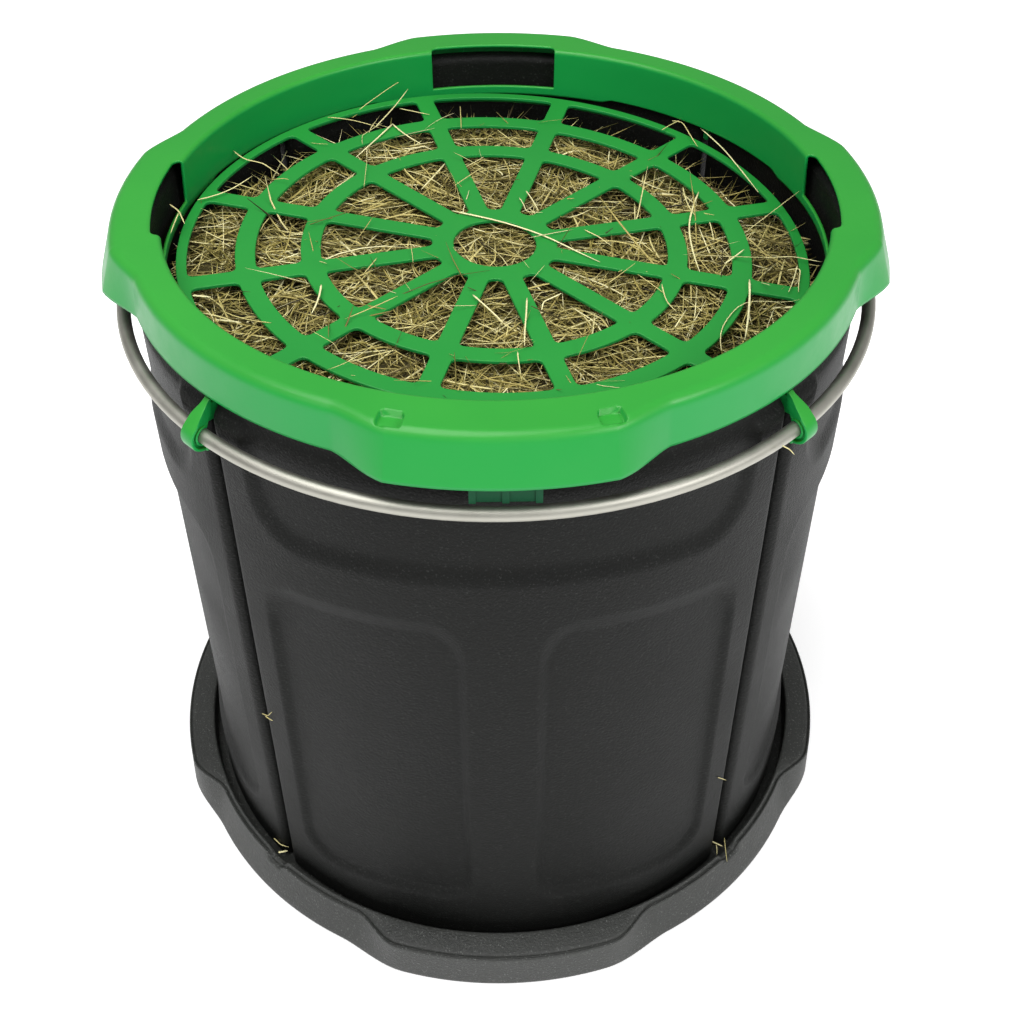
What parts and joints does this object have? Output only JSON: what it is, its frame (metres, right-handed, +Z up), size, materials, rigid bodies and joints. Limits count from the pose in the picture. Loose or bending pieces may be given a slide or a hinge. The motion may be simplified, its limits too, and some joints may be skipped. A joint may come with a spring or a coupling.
{
  "type": "hay rack feeder",
  "caption": "Round free-standing slow feeder for hay: wall panels in a base tray, tied by a steel hoop, with a lift-off lid ring and a slotted grid that sinks as the hay is eaten.",
  "frame": {"origin": "centre of the base tray's standing face, on the ground", "axes": "+Z up, -Y towards the feeder's front, where the front latch is, +X to the right seen from the front"},
  "size_m": [0.764, 0.764, 0.727],
  "materials": {
    "black_shell": "matte",
    "green_shell": "satin",
    "green_grid": "satin",
    "green_latch": "satin",
    "hoop_steel": "satin",
    "pin_steel": "satin",
    "hay": "matte"
  },
  "bodies": {
    "stand": {"base_tray": "black_shell", "wall_front": "black_shell", "wall_right": "black_shell", "wall_rear": "black_shell", "wall_left": "black_shell", "foot_screws": "pin_steel", "hoop_tube": "hoop_steel", "hoop_spigot": "pin_steel", "clip_front_left": "green_shell", "clip_front_right": "green_shell", "clip_rear_right": "green_shell", "clip_rear_left": "green_shell", "hay_fill": "hay"},
    "lid": {"lid_ring": "green_shell", "latch_pin_front": "pin_steel", "latch_pin_rear": "pin_steel"},
    "front_latch": {"latch_front": "green_latch"},
    "rear_latch": {"latch_rear": "green_latch"},
    "grid": {"float_grid": "green_grid"}
  },
  "joints": [
    {"name": "lid_lift", "type": "slide", "parent": "stand", "child": "lid", "axis": [0, 0, 1], "range_m": [0, 0.3]},
    {"name": "front_latch_pull", "type": "hinge", "parent": "lid", "child": "front_latch", "pos_m": [0, -0.3375, 0.693], "axis": [-1, 0, 0], "range_deg": [-5, 14]},
    {"name": "rear_latch_pull", "type": "hinge", "parent": "lid", "child": "rear_latch", "pos_m": [0, 0.3375, 0.693], "axis": [1, 0, 0], "range_deg": [-5, 14]},
    {"name": "grid_drop", "type": "slide", "parent": "stand", "child": "grid", "axis": [0, 0, -1], "range_m": [0, 0.5], "deforming": ["hay_fill"]}
  ]
}
